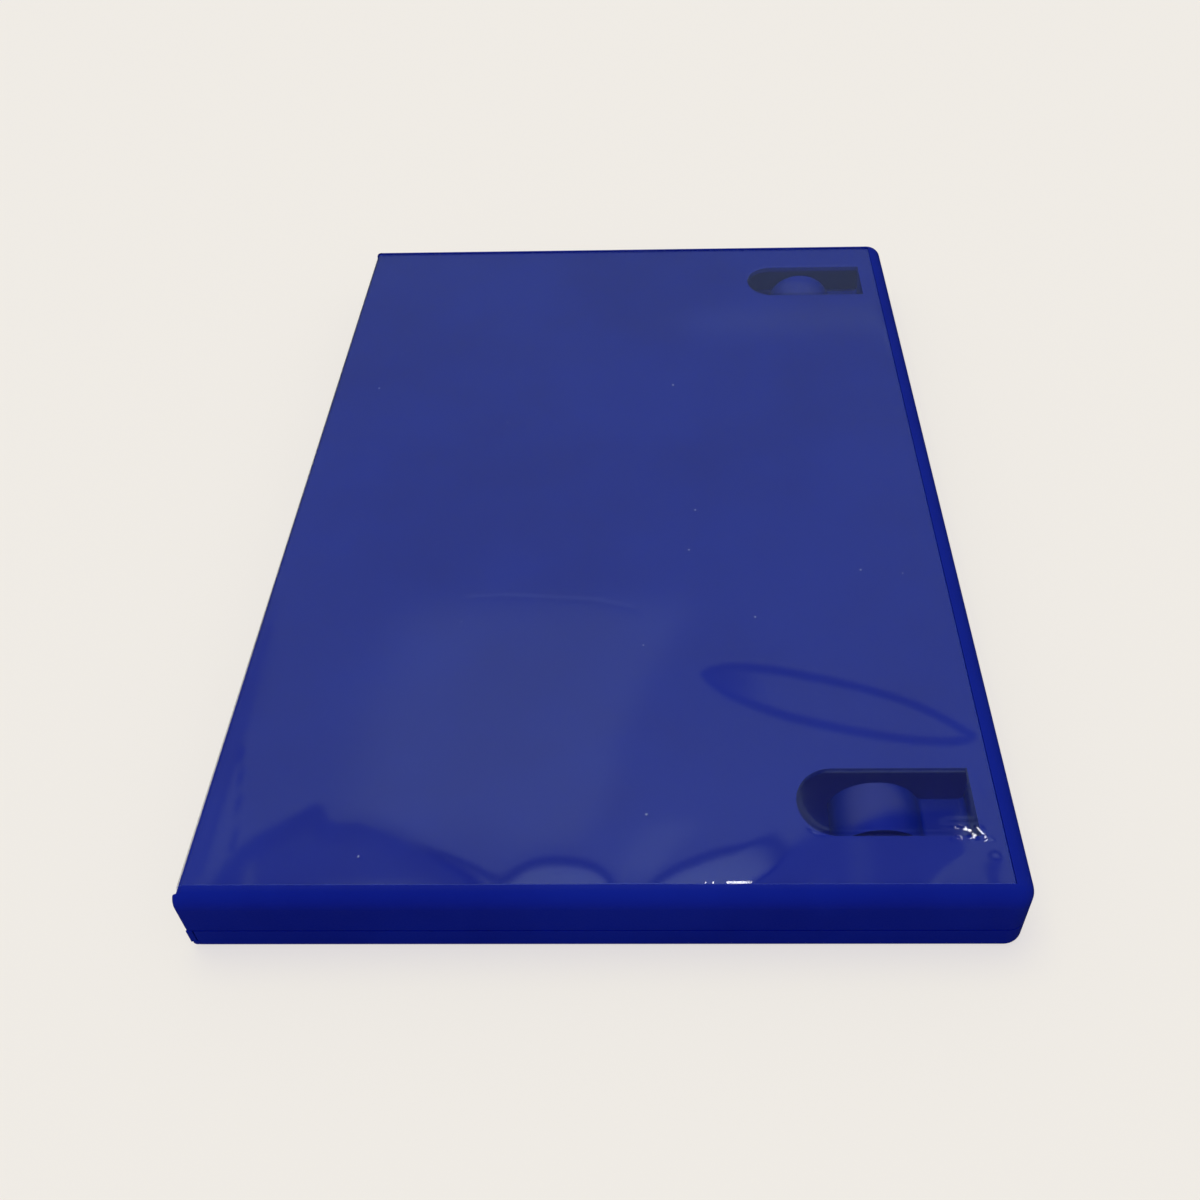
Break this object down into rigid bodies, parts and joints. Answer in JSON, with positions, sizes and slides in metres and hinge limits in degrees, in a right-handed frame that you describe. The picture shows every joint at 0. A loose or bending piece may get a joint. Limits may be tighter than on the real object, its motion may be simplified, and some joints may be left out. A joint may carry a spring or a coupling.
{
  "type": "game disc case",
  "caption": "Flat hinged keep case for a game disc: cover, spine and tray, push hub, booklet clips behind windows, and a clear film sleeve.",
  "frame": {"origin": "centre of the footprint on the plane that the closed case lies on, back panel down", "axes": "+X from the spine to the opening edge, +Y from the bottom edge to the top edge, +Z from back to front"},
  "size_m": [0.135, 0.19, 0.0145],
  "materials": {
    "blue_plastic": "satin polypropylene",
    "clear_film": "clear glossy film"
  },
  "bodies": {
    "tray": {"back_tray": "blue_plastic", "back_film": "clear_film"},
    "spine": {"spine": "blue_plastic", "spine_film": "clear_film"},
    "cover": {"front_cover": "blue_plastic", "front_film": "clear_film"},
    "hub_spine_side": {"hub_tongue_spine_side": "blue_plastic"},
    "hub_fore_side": {"hub_tongue_fore_side": "blue_plastic"}
  },
  "joints": [
    {"name": "spine_hinge", "type": "hinge", "parent": "tray", "child": "spine", "pos_m": [-0.0662, 0, 0.0013], "axis": [0, -1, 0], "range_deg": [0, 90]},
    {"name": "cover_hinge", "type": "hinge", "parent": "spine", "child": "cover", "pos_m": [-0.0662, 0, 0.0132], "axis": [0, -1, 0], "range_deg": [0, 90]},
    {"name": "hub_press_spine_side", "type": "hinge", "parent": "tray", "child": "hub_spine_side", "pos_m": [-0.0107, 0, 0.0054], "axis": [0, 1, 0], "range_deg": [0, 8], "stiffness_Nm_per_rad": 0.7},
    {"name": "hub_press_fore_side", "type": "hinge", "parent": "tray", "child": "hub_fore_side", "pos_m": [0.0137, 0, 0.0054], "axis": [0, -1, 0], "range_deg": [0, 8], "stiffness_Nm_per_rad": 0.7}
  ]
}
